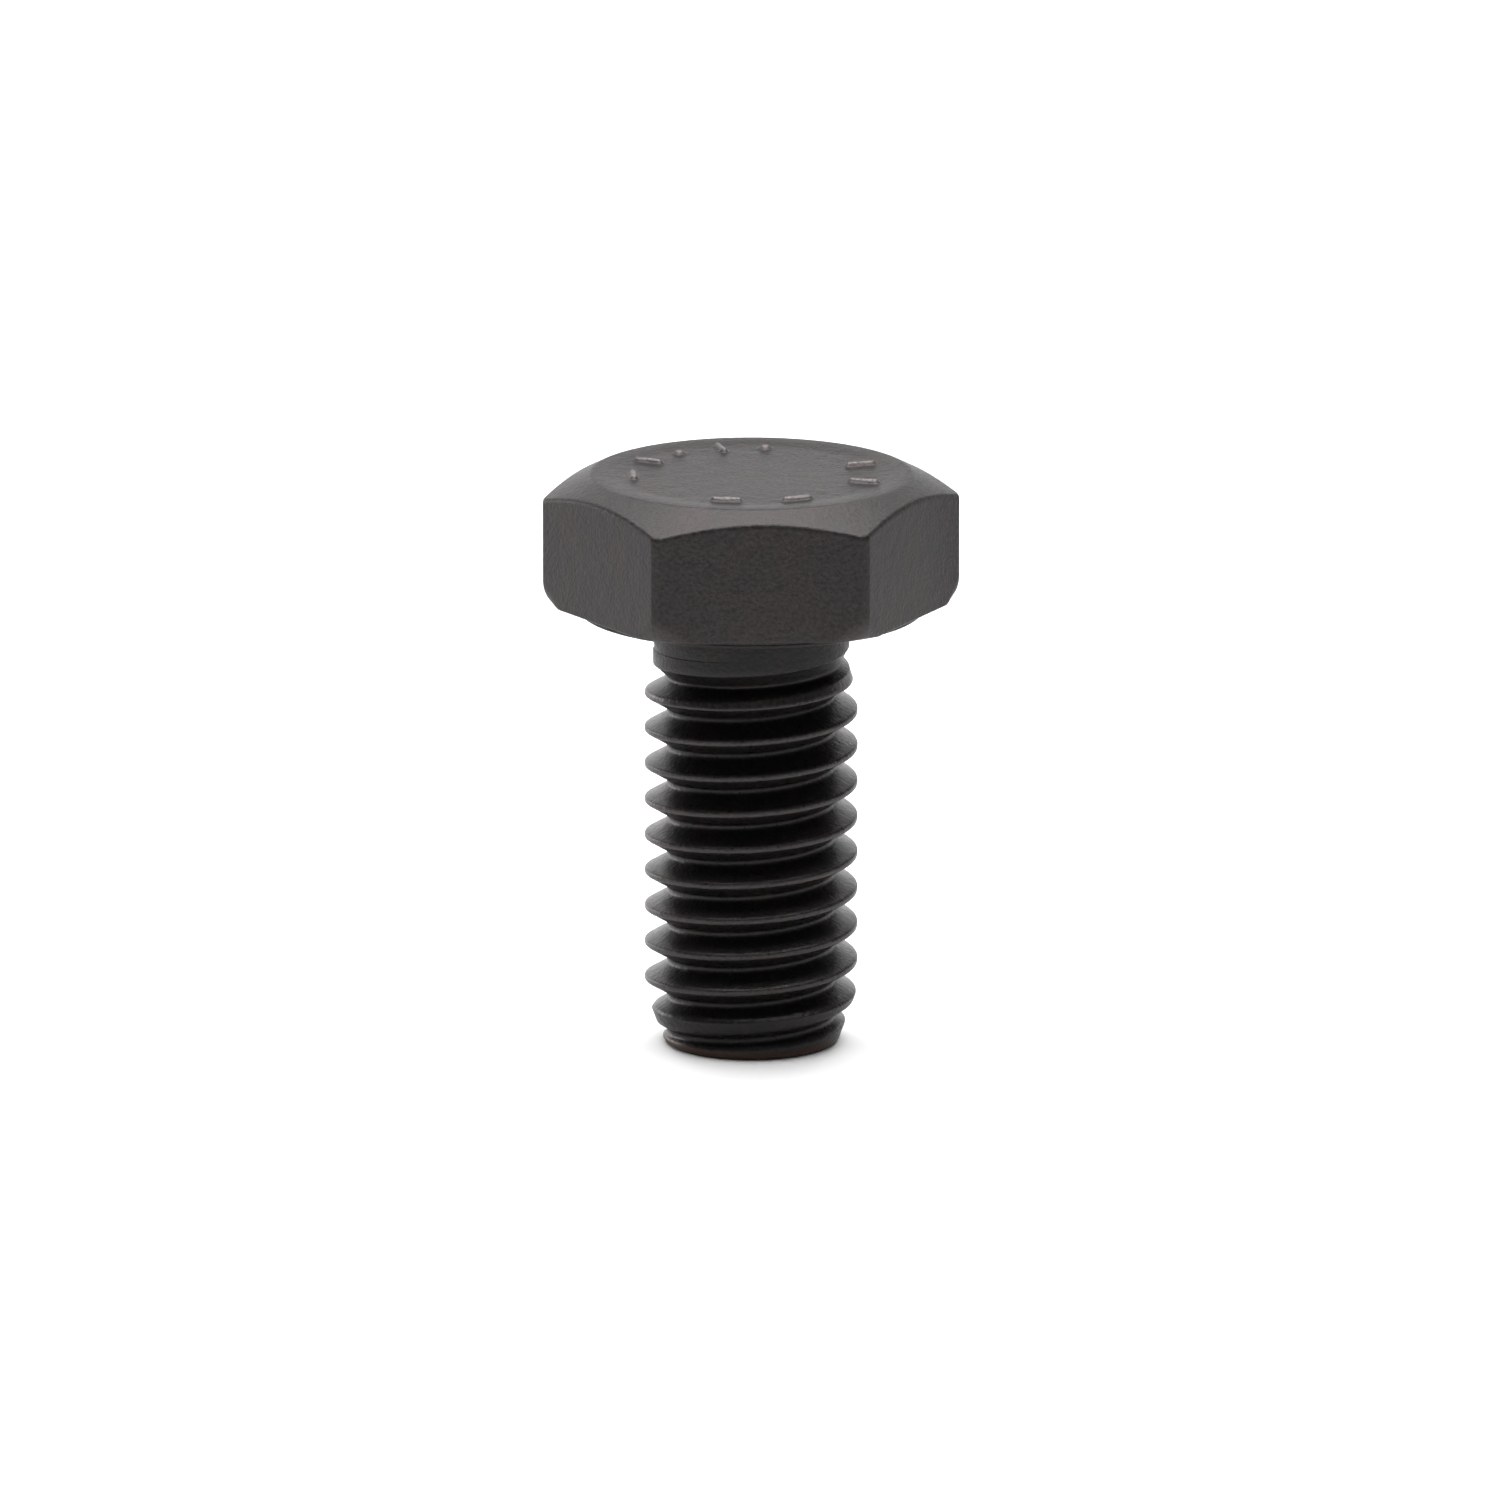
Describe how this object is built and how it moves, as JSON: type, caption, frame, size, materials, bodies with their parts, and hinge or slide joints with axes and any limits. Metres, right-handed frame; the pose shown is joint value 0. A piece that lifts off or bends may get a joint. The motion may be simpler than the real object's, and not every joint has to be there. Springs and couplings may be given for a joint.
{
  "type": "hex bolt",
  "caption": "Fully threaded hexagon head bolt with a chamfered head, a washer face, a short smooth neck and a tapered end, in matt black stainless steel.",
  "frame": {"origin": "centre of the bearing face under the head, on the bolt's axis", "axes": "+Z along the bolt's axis from the threaded end towards the head; +Y and -Y square to two flats of the hexagon; +X towards a corner"},
  "size_m": [0.0114, 0.01, 0.016],
  "materials": {
    "black_stainless": "matt to satin black oxide on stainless steel"
  },
  "bodies": {
    "root": {"hex_bolt": "black_stainless"}
  },
  "joints": []
}
